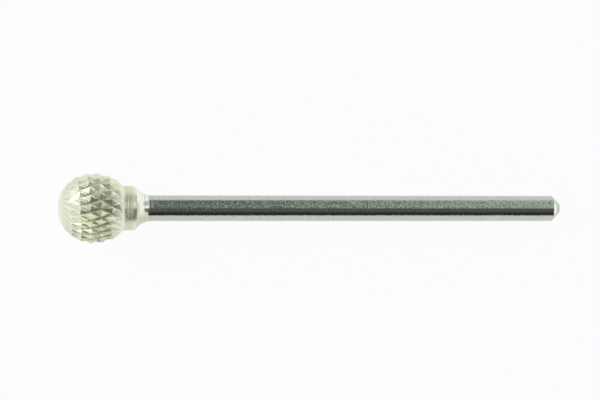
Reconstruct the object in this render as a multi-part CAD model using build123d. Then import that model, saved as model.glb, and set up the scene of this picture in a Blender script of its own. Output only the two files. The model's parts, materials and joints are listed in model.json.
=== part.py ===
from build123d import *
import math
import os

# Double-cut carbide ball burr on a 2.35 mm handpiece shank. Millimetres.
# The tool is worked out standing on the pole of its ball, with its axis along Z.
# At the end it is laid down, head towards -X, as it rests on a table.

# Ball head
HEAD_DIA = 6.35         # over the tooth tips, a quarter inch
POLE_FLAT = 0.09        # ground off the pole
REAR_LENGTH = 2.12      # middle of the ball to the back edge of its rear half
REAR_ARC = 4.05         # profile radius of the fuller rear half
BACK_FILLET = 0.50      # concave radius between the back cone and the collar

# Plain collar behind the ball
COLLAR_DIA = 4.02       # at the front
RIM_DIA = 3.95          # at the rear rim
COLLAR_LENGTH = 0.88

# Main flutes: right hand, with a steep cutting face
FLUTE_COUNT = 23
FLUTE_HELIX = 29.3      # degrees at the equator
FLUTE_DEPTH = 0.30
FLUTE_FACE = 0.185      # share of the pitch that the cutting face takes
FLUTE_FADE = 114.0      # polar angle where they start to run out
FLUTE_PHASE = -4.05     # degrees, so that the burr rests between two teeth

# Cross flutes: left hand, they break the lands into teeth
CROSS_COUNT = 22
CROSS_HELIX = 18.5
CROSS_DEPTH = 0.34
CROSS_FACE = 0.27
CROSS_FADE = 104.0      # these start to run out sooner
CROSS_PHASE = -12.33

# Both sets
LAND = 0.04             # flat left on each tooth tip
FLUTE_START = 16.0      # polar angle, degrees from the pole, where the flutes begin
FLUTE_FULL = 99.0       # where they reach full depth
FLUTE_END = 142.0       # where they have left the metal
SECTIONS = 8            # along one flute

# Steel shank and its braze
SHANK_DIA = 2.35        # 3/32 in
OVERALL_LENGTH = 46.2
SHANK_CHAMFER = 0.70
SEAT_DIA = 2.0          # turned spigot of the shank that the braze surrounds
BRAZE_FILM = 0.05       # between the two end faces
BRAZE_LENGTH = 1.50     # of the fillet behind the rim, which ends flush with the ground shank

# Clearances of the flute cutters over the blank
EDGE_OVER = 0.012
CROWN_OVER = 0.09
START_OVER = 0.03

# What follows from the sizes above
BALL_R = HEAD_DIA / 2
SHANK_R = SHANK_DIA / 2
BALL_Z = BALL_R - POLE_FLAT
REAR_Z = BALL_Z + REAR_LENGTH
REAR_R = BALL_R - REAR_ARC + math.sqrt(REAR_ARC**2 - REAR_LENGTH**2)


def ball_surface(polar):
    """Radius and height on the ball's profile, and its outward normal, at a polar angle."""
    if polar <= 90:
        a = math.radians(polar)
        return BALL_R * math.sin(a), BALL_Z - BALL_R * math.cos(a), math.sin(a), -math.cos(a)
    a = math.radians(polar - 90) * BALL_R / REAR_ARC
    radius = BALL_R - REAR_ARC + REAR_ARC * math.cos(a)
    return radius, BALL_Z + REAR_ARC * math.sin(a), math.cos(a), math.sin(a)


def head_profile():
    """Half section of the unfluted head: flat pole, ball, back cone, fillet and collar."""
    pole_r = math.sqrt(BALL_R**2 - BALL_Z**2)
    collar_r = COLLAR_DIA / 2
    fillet_rise = BACK_FILLET * (1 - math.cos(math.radians(45)))
    fillet_run = BACK_FILLET * math.sin(math.radians(45))
    cone_z = REAR_Z + (REAR_R - collar_r - fillet_rise)
    collar_z = cone_z + fillet_run
    rim_z = collar_z + COLLAR_LENGTH
    with BuildLine() as outline:
        Polyline((0, rim_z), (0, 0), (pole_r, 0))
        RadiusArc((pole_r, 0), (BALL_R, BALL_Z), -BALL_R)
        RadiusArc((BALL_R, BALL_Z), (REAR_R, REAR_Z), -REAR_ARC)
        Line((REAR_R, REAR_Z), (collar_r + fillet_rise, cone_z))
        RadiusArc((collar_r + fillet_rise, cone_z), (collar_r, collar_z), BACK_FILLET)
        Polyline((collar_r, collar_z), (RIM_DIA / 2, rim_z), (0, rim_z))
    return make_face(outline.line), rim_z


def ramp(x):
    """Smooth step from 0 to 1."""
    x = min(max(x, 0), 1)
    return x * x * (3 - 2 * x)


def flute_section(polar, hand, count, helix, depth, face, fade, phase):
    """Kite-shaped section of one flute's cutter at a polar angle."""
    radius, z, out_r, out_z = ball_surface(polar)
    rise = ramp((polar - FLUTE_START) / (FLUTE_FULL - FLUTE_START))
    fall = ramp((FLUTE_END - polar) / (FLUTE_END - fade))
    cut = (depth + START_OVER) * rise * fall - START_OVER
    angle = math.radians(hand * math.tan(math.radians(helix)) * (polar - 90) + phase)
    width = 2 * math.pi / count - LAND / radius
    spread = 1 + EDGE_OVER / depth
    front = width * face * spread
    back = width * (1 - face) * spread

    def corner(over, turn):
        r = radius + over * out_r
        return Vector(r * math.cos(turn), r * math.sin(turn), z + over * out_z)

    corners = [
        corner(EDGE_OVER, angle + front),
        corner(-cut, angle),
        corner(EDGE_OVER, angle - back),
        corner(CROWN_OVER, angle + (front - back) / 2),
    ]
    return Wire.make_polygon(corners, close=True)


def flute_cutters(hand, count, helix, depth, face, fade, phase):
    """One set of flutes: a lofted cutter, patterned round the axis."""
    step = (FLUTE_END - FLUTE_START) / (SECTIONS - 1)
    sections = [
        flute_section(FLUTE_START + i * step, hand, count, helix, depth, face, fade, phase)
        for i in range(SECTIONS)
    ]
    cutter = Solid.make_loft(sections)
    return [cutter.rotate(Axis.Z, i * 360 / count) for i in range(count)]


def cutting_head():
    """Turned and ground blank with both sets of flutes cut into it."""
    profile, rim_z = head_profile()
    head = revolve(Plane.XZ * profile, Axis.Z)
    main_set = flute_cutters(1, FLUTE_COUNT, FLUTE_HELIX, FLUTE_DEPTH, FLUTE_FACE, FLUTE_FADE, FLUTE_PHASE)
    cross_set = flute_cutters(-1, CROSS_COUNT, CROSS_HELIX, CROSS_DEPTH, CROSS_FACE, CROSS_FADE, CROSS_PHASE)
    head = head - main_set - cross_set
    return head, rim_z


def braze_joint(rim_z):
    """Braze film between head and shank, with the concave fillet behind the collar's rim."""
    rim_r = RIM_DIA / 2
    seat_r = SEAT_DIA / 2
    film_z = rim_z + BRAZE_FILM
    end_z = rim_z + BRAZE_LENGTH
    drop = rim_r - SHANK_R
    arc = (drop**2 + BRAZE_LENGTH**2) / (2 * drop)
    with BuildLine() as outline:
        Line((0, rim_z), (rim_r, rim_z))
        RadiusArc((rim_r, rim_z), (SHANK_R, end_z), arc)
        Polyline((SHANK_R, end_z), (seat_r, end_z), (seat_r, film_z), (0, film_z), (0, rim_z))
    return revolve(Plane.XZ * make_face(outline.line), Axis.Z)


def shank(rim_z):
    """Ground rod with a chamfered free end, and a turned spigot that sits in the braze."""
    seat_z = rim_z + BRAZE_FILM
    rod_z = rim_z + BRAZE_LENGTH
    on_end = (Align.CENTER, Align.CENTER, Align.MIN)
    seat = Pos(0, 0, seat_z) * Cylinder(SEAT_DIA / 2, rod_z - seat_z, align=on_end)
    rod = Pos(0, 0, rod_z) * Cylinder(SHANK_R, OVERALL_LENGTH - rod_z, align=on_end)
    return seat + chamfer(rod.edges().sort_by(Axis.Z)[-1], SHANK_CHAMFER)


def laid_down(pieces):
    """Lay the tool on a table, so that its teeth and the corner of its chamfer both touch."""
    reach = OVERALL_LENGTH - SHANK_CHAMFER - BALL_Z
    tilt = math.degrees(math.asin(BALL_R / math.hypot(reach, SHANK_R)) - math.atan(SHANK_R / reach))
    along_x = Location(Plane(origin=(0, 0, 0), x_dir=(0, 0, 1), z_dir=(1, 0, 0)))
    on_ball = {name: Location((0, 0, 0), (0, tilt, 0)) * along_x * piece for name, piece in pieces.items()}
    gap = on_ball["cutting_head"].bounding_box().min.Z - on_ball["shank"].bounding_box().min.Z
    settle = math.degrees(math.atan(gap / reach))
    lying = {name: Location((0, 0, 0), (0, -settle, 0)) * piece for name, piece in on_ball.items()}
    box = Compound([solid for piece in lying.values() for solid in piece.solids()]).bounding_box()
    to_origin = Pos(-box.center().X, -box.center().Y, -box.min.Z)
    return {name: to_origin * piece for name, piece in lying.items()}


def main():
    os.makedirs("parts", exist_ok=True)
    head, rim_z = cutting_head()
    pieces = {"cutting_head": head, "braze_joint": braze_joint(rim_z), "shank": shank(rim_z)}
    for name, piece in laid_down(pieces).items():
        export_step(piece, f"parts/{name}.step")


main()
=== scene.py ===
import json
import math

import bpy
from mathutils import Matrix, Vector

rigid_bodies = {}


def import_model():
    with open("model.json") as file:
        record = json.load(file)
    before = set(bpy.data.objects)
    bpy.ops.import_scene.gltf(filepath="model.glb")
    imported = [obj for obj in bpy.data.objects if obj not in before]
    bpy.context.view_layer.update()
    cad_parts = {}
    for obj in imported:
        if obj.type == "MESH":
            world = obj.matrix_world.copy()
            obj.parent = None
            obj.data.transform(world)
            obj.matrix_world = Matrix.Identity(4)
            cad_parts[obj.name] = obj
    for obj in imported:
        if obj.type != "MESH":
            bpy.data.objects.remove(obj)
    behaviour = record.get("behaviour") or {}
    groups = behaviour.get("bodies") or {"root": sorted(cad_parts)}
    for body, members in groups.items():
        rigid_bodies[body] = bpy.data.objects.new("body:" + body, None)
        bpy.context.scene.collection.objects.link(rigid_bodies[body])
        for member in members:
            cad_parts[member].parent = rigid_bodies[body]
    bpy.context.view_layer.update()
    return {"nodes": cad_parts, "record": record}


for left_over in list(bpy.data.objects):
    bpy.data.objects.remove(left_over)

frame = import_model()

# ---------------------------------------------------------------- the tool's own axes
# The burr lies head towards -X. Its axis comes from the mount on the shank, whose wall ends at
# the chamfer. Positions along the axis are counted from the pole of the ball, in millimetres.

MM = 0.001
OVERALL = 46.2
CHAMFER = 0.7
BALL_MIDDLE = 3.085
COLLAR_START = 5.978
RIM = 6.858
FILLET_END = 8.358

mount = frame["record"]["mounts"][0]
axis = Vector(mount["axis"]).normalized()
side = Vector((0, -1, 0))
up = side.cross(axis).normalized()
free_end = Vector(mount["pos_m"]) + axis * ((mount["dims"]["length_mm"] / 2 + CHAMFER) * MM)
pole = free_end - axis * (OVERALL * MM)


def on_axis(distance):
    """Point of the tool's axis at a distance from the pole."""
    return pole + axis * (distance * MM)


# ---------------------------------------------------------------- camera

IMAGE_WIDTH = 600           # pixels
FOCAL_PIXELS = 2666
SENSOR = 36
CAMERA_DISTANCE = 242.9
AIM = 21.944                # place on the axis that the camera looks at
ABOVE_AXIS = 0.758          # shift of the picture's middle
LEAN = 9.47                 # degrees, towards the head
ROLL = 0.06


def place_camera():
    """Nearly straight above the tool, leaning towards the head."""
    down = Vector((0, 1, 0)).cross(axis).normalized()
    lean = math.radians(LEAN)
    look = axis * math.sin(lean) + down * math.cos(lean)
    across = look.cross(Vector((0, 1, 0))).normalized()
    above = across.cross(look)
    rows = Matrix((across, above, -look)).transposed()
    data = bpy.data.cameras.new("camera")
    data.sensor_width = SENSOR
    data.lens = FOCAL_PIXELS / IMAGE_WIDTH * SENSOR
    data.clip_start = 0.01
    data.clip_end = 10
    camera = bpy.data.objects.new("camera", data)
    bpy.context.scene.collection.objects.link(camera)
    place = on_axis(AIM) - look * (CAMERA_DISTANCE * MM) + above * (ABOVE_AXIS * MM)
    turned = rows @ Matrix.Rotation(math.radians(ROLL), 3, "Z")
    camera.matrix_world = Matrix.Translation(place) @ turned.to_4x4()
    bpy.context.scene.camera = camera


# ---------------------------------------------------------------- shader expressions

class Wire:
    """A socket in an expression."""

    def __init__(self, sheet, socket):
        self.sheet = sheet
        self.socket = socket

    def math(self, operation, *others):
        node = self.sheet.add("ShaderNodeMath", {"operation": operation}, [self, *others])
        return node.out(0)

    def __add__(self, other):
        return self.math("ADD", other)

    def __radd__(self, other):
        return self.math("ADD", other)

    def __sub__(self, other):
        return self.math("SUBTRACT", other)

    def __rsub__(self, other):
        return (self * -1).math("ADD", other)

    def __mul__(self, other):
        return self.math("MULTIPLY", other)

    def __rmul__(self, other):
        return self.math("MULTIPLY", other)

    def __truediv__(self, other):
        return self.math("DIVIDE", other)

    def over(self, other):
        """The larger of the two."""
        return self.math("MAXIMUM", other)

    def under(self, other):
        """The smaller of the two."""
        return self.math("MINIMUM", other)

    def absolute(self):
        return self.math("ABSOLUTE")

    def step(self, low, high):
        """Smooth step from 0 at low to 1 at high."""
        node = self.sheet.add(
            "ShaderNodeMapRange",
            {"interpolation_type": "SMOOTHSTEP"},
            {"Value": self, "From Min": low, "From Max": high},
        )
        return node.out(0)

    def band(self, low, high, soft):
        """1 between low and high, with soft edges."""
        return self.step(low - soft, low + soft) * (1 - self.step(high - soft, high + soft))

    def between(self, first, second):
        """From first, where this value is 0, to second, where it is 1."""
        return first + (second - first) * self

    def vector(self, operation, *others):
        node = self.sheet.add("ShaderNodeVectorMath", {"operation": operation}, [self, *others])
        return node.out("Value" if operation == "DOT_PRODUCT" else "Vector")

    def dot(self, other):
        return self.vector("DOT_PRODUCT", tuple(other))

    def times(self, number):
        """A vector scaled by a value."""
        node = self.sheet.add(
            "ShaderNodeVectorMath", {"operation": "SCALE"}, {"Vector": self, "Scale": number}
        )
        return node.out("Vector")


class Placed:
    """A node that was added, with its outputs by name or number."""

    def __init__(self, sheet, node):
        self.sheet = sheet
        self.node = node

    def out(self, name):
        return Wire(self.sheet, self.node.outputs[name])


class Sheet:
    """A node tree that is being written."""

    def __init__(self, tree):
        self.tree = tree
        tree.nodes.clear()

    def add(self, kind, settings=None, sockets=None):
        """One node: its settings, then the values or links of its sockets."""
        node = self.tree.nodes.new(kind)
        for name, value in (settings or {}).items():
            if name == "stops":
                self.set_stops(node.color_ramp, value)
            else:
                setattr(node, name, value)
        given = sockets.items() if isinstance(sockets, dict) else enumerate(sockets or [])
        for name, value in given:
            if isinstance(value, Wire):
                self.tree.links.new(value.socket, node.inputs[name])
            else:
                node.inputs[name].default_value = value
        return Placed(self, node)

    def set_stops(self, ramp, stops):
        while len(ramp.elements) > 1:
            ramp.elements.remove(ramp.elements[-1])
        for number, (place, colour) in enumerate(stops):
            element = ramp.elements[0] if number == 0 else ramp.elements.new(place)
            element.position = place
            element.color = (*colour, 1)

    def mix(self, share, first, second):
        """Colour between first and second."""
        node = self.add(
            "ShaderNodeMix", {"data_type": "RGBA"},
            {0: share, 6: self.colour(first), 7: self.colour(second)},
        )
        return node.out(2)

    def tint(self, first, second):
        """One colour multiplied by another."""
        node = self.add(
            "ShaderNodeMix", {"data_type": "RGBA", "blend_type": "MULTIPLY"},
            {0: 1.0, 6: self.colour(first), 7: self.colour(second)},
        )
        return node.out(2)

    def grey(self, value):
        """A value as a colour."""
        return self.add("ShaderNodeCombineColor", None, [value, value, value]).out(0)

    def colour(self, value):
        return value if isinstance(value, Wire) else (*value, 1)

    def noise(self, place, scale, detail=2.0, rough=0.5, dimensions="3D"):
        """Noise between 0 and 1 at a place, which is a vector, or a value in one dimension."""
        name = "W" if dimensions == "1D" else "Vector"
        node = self.add(
            "ShaderNodeTexNoise", {"noise_dimensions": dimensions},
            {name: place, "Scale": scale, "Detail": detail, "Roughness": rough},
        )
        return node.out(0)

    def point(self, x, y, z):
        return self.add("ShaderNodeCombineXYZ", None, [x, y, z]).out(0)


# ---------------------------------------------------------------- surroundings
# A heading in the surroundings is given by its share along X, from -1 to 1, and by its angle
# round the tool in degrees, from straight up towards +Y. Pairs say where a smooth step begins
# and ends.

WHITE = (1.0, 1.0, 1.0)

# The hood is a dim card over the tool. All that it leaves free is white.
HOOD_FROM = -68.5
HOOD_TO = 79
HOOD_SOFT = 1.5
HOOD_LEVELS = [
    (-64, 0.012), (-47, 0.016), (-38, 0.055), (-28, 0.12), (0, 0.13), (8, 0.08),
    (20, 0.10), (33, 0.09), (60, 0.09), (74, 0.16),
]
HOOD_TINT = (0.95, 1.06, 0.95)
HOOD_LIMIT = 0.85

# Its ends past the head and past the shank. Low down it ends sooner past the shank.
LEFT_END = (-0.50, -0.34)
RIGHT_END = 0.87
RIGHT_END_LOW = 0.53
RIGHT_END_SOFT = 0.07
RIGHT_END_TURN = (-46, -34)

# It is lighter over the shank's end and on the side of the head.
RIGHT_LIFT = 9.0
RIGHT_LIFT_RISE = (0.19, 0.30)
RIGHT_LIFT_FALL = (0.34, 0.44)
RIGHT_LIFT_LOSS = 0.55
RIGHT_LIFT_TURN = (-6, 16)
LEFT_LIFT = 3.0
LEFT_LIFT_FALL = (-0.20, 0.02)
LEFT_LIFT_TURN = (-48, -20)

# A window in it, which shows in the fillet behind the collar.
WINDOW_RISE = (0.44, 0.56)
WINDOW_FROM = -1
WINDOW_TO = 28
WINDOW_SOFT = 4

TABLE_HALF = 1.5            # metres
TABLE_COLOUR = (0.9, 0.9, 0.9, 1)
TABLE_GLOW = 0.95           # share of its glow that the eye and the metal see

LAMP_HEADING = (-1.0, 0.35, 0.75)
LAMP_DISTANCE = 0.30        # metres
LAMP_SIZE = 0.16
LAMP_WATTS = 0.14


def light_studio():
    """A dim hood over the tool, bright at its sides, past both ends and at one window."""
    world = bpy.data.worlds.new("studio")
    world.use_nodes = True
    bpy.context.scene.world = world
    sheet = Sheet(world.node_tree)
    heading = sheet.add("ShaderNodeTexCoord").out("Generated")
    parts = sheet.add("ShaderNodeSeparateXYZ", None, [heading])
    x, y, z = parts.out(0), parts.out(1), parts.out(2)
    angle = y.math("ARCTAN2", z) * (180 / math.pi)

    stops = [((turn + 90) / 180, (level, level, level)) for turn, level in HOOD_LEVELS]
    level = sheet.add("ShaderNodeValToRGB", {"stops": stops}, [(angle + 90) / 180]).out(0)
    right = x.step(*RIGHT_LIFT_RISE) * (1 - x.step(*RIGHT_LIFT_FALL) * RIGHT_LIFT_LOSS)
    right = right * angle.step(*RIGHT_LIFT_TURN)
    left = (1 - x.step(*LEFT_LIFT_FALL)) * angle.step(*LEFT_LIFT_TURN)
    lift = 1 + RIGHT_LIFT * right + LEFT_LIFT * left
    hood = sheet.tint(sheet.grey((level * lift).under(HOOD_LIMIT)), HOOD_TINT)

    right_end = RIGHT_END_LOW + (RIGHT_END - RIGHT_END_LOW) * angle.step(*RIGHT_END_TURN)
    past_end = (x - right_end).step(-RIGHT_END_SOFT, RIGHT_END_SOFT)
    window = x.step(*WINDOW_RISE) * angle.band(WINDOW_FROM, WINDOW_TO, WINDOW_SOFT)
    inside = angle.band(HOOD_FROM, HOOD_TO, HOOD_SOFT) * x.step(*LEFT_END) * (1 - past_end)
    sky = sheet.mix(inside * (1 - window), WHITE, hood)

    seen = sheet.add("ShaderNodeLightPath").out("Is Camera Ray")
    sky = sheet.mix(seen, sky, WHITE)
    glow = sheet.add("ShaderNodeBackground", None, {"Color": sky, "Strength": 1.0}).out(0)
    sheet.add("ShaderNodeOutputWorld", None, [glow])


def lay_table():
    """White table. It shows white to the eye and to the metal, and keeps a faint shadow."""
    half = TABLE_HALF
    mesh = bpy.data.meshes.new("floor")
    corners = [(-half, -half, 0), (half, -half, 0), (half, half, 0), (-half, half, 0)]
    mesh.from_pydata(corners, [], [(0, 1, 2, 3)])
    floor = bpy.data.objects.new("floor", mesh)
    bpy.context.scene.collection.objects.link(floor)
    paper = bpy.data.materials.new("white_table")
    paper.use_nodes = True
    sheet = Sheet(paper.node_tree)
    path = sheet.add("ShaderNodeLightPath")
    shown = path.out("Is Camera Ray") + path.out("Is Glossy Ray") + path.out("Is Transmission Ray")
    matt = sheet.add("ShaderNodeBsdfDiffuse", None, {"Color": TABLE_COLOUR}).out(0)
    white = sheet.add("ShaderNodeEmission", None, {"Strength": 1.0}).out(0)
    share = shown.under(1) * TABLE_GLOW
    mixed = sheet.add("ShaderNodeMixShader", None, [share, matt, white]).out(0)
    sheet.add("ShaderNodeOutputMaterial", None, [mixed])
    mesh.materials.append(paper)


def hang_lamp():
    """Soft square lamp in front of the head, turned to face it."""
    data = bpy.data.lights.new("head_lamp", "AREA")
    data.shape = "SQUARE"
    data.size = LAMP_SIZE
    data.energy = LAMP_WATTS
    lamp = bpy.data.objects.new("head_lamp", data)
    bpy.context.scene.collection.objects.link(lamp)
    away = Vector(LAMP_HEADING).normalized()
    lamp.location = on_axis(BALL_MIDDLE) + away * LAMP_DISTANCE
    lamp.rotation_mode = "QUATERNION"
    lamp.rotation_quaternion = away.to_track_quat("Z", "Y")


# ---------------------------------------------------------------- finishes
# Lengths are in millimetres, and colours are what the metal reflects.

class Finish(Sheet):
    """A metal finish, worked out in the tool's own directions."""

    def __init__(self, name):
        self.material = bpy.data.materials.new(name)
        self.material.use_nodes = True
        super().__init__(self.material.node_tree)
        place = self.add("ShaderNodeTexCoord").out("Object").times(1 / MM)
        start = pole / MM
        self.along = place.dot(axis) - start.dot(axis)
        self.high = place.dot(up) - start.dot(up)
        self.aside = place.dot(side) - start.dot(side)
        self.radius = (self.high * self.high + self.aside * self.aside).math("SQRT")
        self.turn = self.aside.math("ARCTAN2", self.high)
        self.round = self.point(self.along, self.high, self.aside)
        self.normal = self.add("ShaderNodeNewGeometry").out("Normal")
        self.around = self.normal.vector("CROSS_PRODUCT", tuple(axis))

    def rings(self, spacing, seed=0.0):
        """Rings round the axis, from -0.5 to 0.5, as a grinding wheel leaves them."""
        return self.noise(self.along + seed, 1 / spacing, 4, 0.7, "1D") - 0.5

    def dashes(self, width, length, seed):
        """Short scratches round the axis, from -0.5 to 0.5."""
        stretch = width / length
        place = self.point(self.along + seed, self.high * stretch, self.aside * stretch)
        return self.noise(place, 1 / width, 2, 0.6) - 0.5

    def mottle(self, scale):
        """Soft patches, from 0 to 1."""
        return self.noise(self.round, scale, 3)

    def tilted(self, amount, sideways=0.0):
        """The surface's normal, leaned along the axis and round it."""
        lean = self.add("ShaderNodeCombineXYZ", None, list(axis)).out(0).times(amount)
        leaned = self.normal.vector("ADD", lean).vector("ADD", self.around.times(sideways))
        return leaned.vector("NORMALIZE")

    def softened(self, radius):
        """Round the normal over every edge, and give a mask of those edges."""
        soft = self.add("ShaderNodeBevel", {"samples": 8}, {"Radius": radius * MM}).out(0)
        bend = 1 - soft.vector("DOT_PRODUCT", self.normal)
        self.normal = soft
        return bend.step(0.006, 0.05)

    def metal(self, base, roughness, normal):
        sockets = {
            "Base Color": base, "Metallic": 1.0, "Roughness": roughness, "Normal": normal,
        }
        shader = self.add("ShaderNodeBsdfPrincipled", None, sockets).out(0)
        self.add("ShaderNodeOutputMaterial", None, [shader])
        return self.material


STEEL_VALLEY = (0.53, 0.55, 0.51)
STEEL_CREST = (0.62, 0.64, 0.60)
STEEL_SCRATCH = (0.30, 0.32, 0.29)
STEEL_PATCH = (0.47, 0.49, 0.45)
# The next colour is a painted highlight on the chamfer.
STEEL_CHAMFER_HIGHLIGHT = (0.95, 0.95, 0.92)
SCRATCH_WIDTH = 0.09


def ground_steel():
    """Centreless ground shank: fine rings and short scratches, and a painted highlight on the
    chamfer.
    """
    f = Finish("ground_steel")
    wall_end = OVERALL - CHAMFER
    rings = f.rings(0.08)
    scratches = f.dashes(SCRATCH_WIDTH, 0.16, 5)
    ripple = f.dashes(SCRATCH_WIDTH, 0.14, 15)
    patches = f.mottle(1.6)
    base = f.mix(rings.step(-0.20, 0.20), STEEL_VALLEY, STEEL_CREST)
    base = f.mix(scratches.step(0.0, 0.14) * 0.50, base, STEEL_SCRATCH)
    base = f.mix(patches.step(0.35, 0.7) * 0.25, base, STEEL_PATCH)
    # Painted highlight on the chamfer, only near its top and bottom.
    bright = f.along.step(wall_end - 0.03, wall_end + 0.03)
    bright = bright * (1 - f.along.step(wall_end + 0.18, wall_end + 0.42))
    bright = bright * (1 - f.aside.absolute().step(0.2, 0.7))
    base = f.mix(bright, base, STEEL_CHAMFER_HIGHLIGHT)
    rough = 0.13 + (rings + 0.5) * 0.05 + patches * 0.05
    lean = f.rings(0.03) * 0.25 + scratches * 0.55
    return f.metal(base, rough, f.tilted(lean, ripple * 0.22))


BALL_R = 3.175
REAR_ARC = 4.05             # profile radius behind the ball's middle
FLUTE_COUNT = 23
FLUTE_HELIX = 29.3          # degrees, at the middle
FLUTE_PHASE = -4.05         # degrees
LAND_PLACE = 0.20           # share of a pitch from the flute's bottom
LAND_EDGE = (0.018, 0.045)  # from the middle of the land
TOOTH_EDGE = 0.07           # radius that a worn tooth edge shows

CARBIDE_DULL = (0.83, 0.84, 0.69)
CARBIDE_PALE = (0.89, 0.90, 0.77)
CARBIDE_GROOVE = (0.84, 0.88, 0.58)
CARBIDE_GRAIN = (0.60, 0.62, 0.39)
CARBIDE_STAIN = (0.58, 0.50, 0.24)
# The next colour is painted shade on the facets near the pole.
CARBIDE_FACET_SHADE = (0.55, 0.58, 0.40)
# The next colour is a painted highlight on the tooth edges.
CARBIDE_EDGE_HIGHLIGHT = (0.98, 0.98, 0.94)
CARBIDE_COLLAR = (0.66, 0.69, 0.50)


def place_on_ball(f):
    """Depth under the ball as it was before fluting, and angle past its middle in radians."""
    behind = f.along - BALL_MIDDLE
    outer = f.radius + (REAR_ARC - BALL_R)
    rear = behind.step(-0.01, 0.01)
    front_depth = BALL_R - (behind * behind + f.radius * f.radius).math("SQRT")
    rear_depth = REAR_ARC - (behind * behind + outer * outer).math("SQRT")
    front_past = f.radius.math("ARCTAN2", behind * -1) - math.pi / 2
    rear_past = behind.math("ARCTAN2", outer) * (REAR_ARC / BALL_R)
    return rear.between(front_depth, rear_depth), rear.between(front_past, rear_past)


def place_in_pitch(f, past):
    """Place between two main flutes, from -0.5 to 0.5, with 0 on the land."""
    turned = f.turn - past * math.tan(math.radians(FLUTE_HELIX)) - math.radians(FLUTE_PHASE)
    whole_turns = 100       # keeps the value above 0
    pitches = turned / (2 * math.pi / FLUTE_COUNT) - LAND_PLACE + whole_turns
    return (pitches + 0.5).math("FRACT") - 0.5


def sintered_carbide():
    """Ground tungsten carbide: satin, faintly straw coloured, ringed on the collar."""
    f = Finish("sintered_carbide")
    depth, past = place_on_ball(f)
    share = place_in_pitch(f, past)
    on_ball = 1 - f.along.step(COLLAR_START - 0.55, COLLAR_START - 0.35)
    on_collar = f.along.step(COLLAR_START - 0.35, COLLAR_START - 0.05)
    bend = f.softened(TOOTH_EDGE)
    mottle = f.mottle(3.0)
    grain = f.noise(f.round, 18.0, 3, 0.6)

    # Painted highlights on the edges: the lands along the main flutes, and every crest between two
    # facets.
    land = 1 - (share.absolute() * (2 * math.pi / FLUTE_COUNT) * f.radius).step(*LAND_EDGE)
    land = land * on_ball * (1 - depth.step(0.16, 0.26)) * f.along.step(1.2, 2.2)
    edge_highlight = bend * (1 - depth.step(0.10, 0.22)) * on_ball * f.along.step(0.5, 1.1)
    edge_highlight = edge_highlight.over(land)

    # Painted shade across each pitch of the shallow cuts that carry the main flutes on towards the
    # pole, and spokes that lean the normal there.
    facet_shade = (share + 0.5) * f.along.step(0.05, 0.5) * (1 - f.along.step(1.4, 2.8))
    spokes = (f.noise(f.turn, 22, 3, 0.6, "1D") - 0.5) * (1 - f.along.step(0.5, 1.6))

    groove = depth.step(0.04, 0.12) * on_ball
    stain = depth.step(0.10, 0.26) * on_ball * mottle.step(0.42, 0.62)
    base = f.mix(mottle.step(0.35, 0.65), CARBIDE_DULL, CARBIDE_PALE)
    base = f.mix(groove * 0.5, base, CARBIDE_GROOVE)
    base = f.mix(grain.step(0.50, 0.70) * 0.4, base, CARBIDE_GRAIN)
    base = f.mix(stain * 0.35, base, CARBIDE_STAIN)
    # Painted shade on the facets near the pole.
    base = f.mix(facet_shade * 0.6, base, CARBIDE_FACET_SHADE)
    # Painted highlight along the lands and crests.
    base = f.mix(edge_highlight * 0.85, base, CARBIDE_EDGE_HIGHLIGHT)
    base = f.mix(on_collar * (1 - f.along.step(RIM - 0.5, RIM)) * 0.9, base, CARBIDE_COLLAR)

    # The collar is polished on one side near its rim, and ringed elsewhere.
    polished = f.along.step(RIM - 0.42, RIM - 0.16) * f.aside.step(-0.25, 0.35)
    worn = on_collar * (1 - polished)
    lean = f.rings(0.045, 20) * (worn * 3.0 + 0.25) - worn * 0.22 + polished * 0.13
    lean = lean - edge_highlight * 0.9 + (grain - 0.5) * 0.30
    rough = 0.28 + mottle * 0.06 + grain * 0.08 + edge_highlight * 0.1
    return f.metal(base, rough, f.tilted(lean, spokes * 0.7))


BRAZE_ARC = 1.8             # profile radius of the fillet
BURNT_LINE = (0.80, 0.72, 0.70, 0.62)   # before the fillet's end
THIN_BRAZE = (0.40, 0.26)               # before the fillet's end

BRAZE_GREY = (0.88, 0.88, 0.80)
BRAZE_PALE = (0.93, 0.93, 0.88)
# The next colour is painted shade on one side of the braze.
BRAZE_SHADE_STRAW = (0.58, 0.60, 0.44)
BRAZE_BURNT = (0.50, 0.42, 0.22)
BRAZE_THIN = (0.52, 0.54, 0.50)


def braze_alloy():
    """Silver braze, with painted shade in straw towards -Y and low down, smoothed back to the
    shank where it is thin.
    """
    f = Finish("braze_alloy")
    to_end = f.along - FILLET_END
    start, full, fading, gone = [-place for place in BURNT_LINE]
    burnt = to_end.step(start, full) * (1 - to_end.step(fading, gone))
    thin = to_end.step(*[-place for place in THIN_BRAZE])
    # Painted shade: a darker straw colour towards -Y and low down.
    straw = f.aside.step(0.1, 0.9) + (1 - f.high.step(0.2, 1.2)) * 0.5
    mottle = f.mottle(2.5)
    base = f.mix(mottle.step(0.35, 0.65), BRAZE_GREY, BRAZE_PALE)
    base = f.mix(straw.under(1) * 0.9, base, BRAZE_SHADE_STRAW)
    base = f.mix(burnt * 0.45, base, BRAZE_BURNT)
    base = f.mix(thin, base, BRAZE_THIN)
    levelled = to_end * thin / BRAZE_ARC
    lean = f.rings(0.045, 40) * 0.35 + levelled
    return f.metal(base, 0.16 + mottle * 0.10, f.tilted(lean))


def dress(node, material):
    """Give a CAD node its finish."""
    piece = frame["nodes"][node]
    piece.data.materials.clear()
    piece.data.materials.append(material)


place_camera()
light_studio()
lay_table()
hang_lamp()
dress("shank", ground_steel())
dress("cutting_head", sintered_carbide())
dress("braze_joint", braze_alloy())

bpy.context.scene.view_settings.view_transform = "Standard"
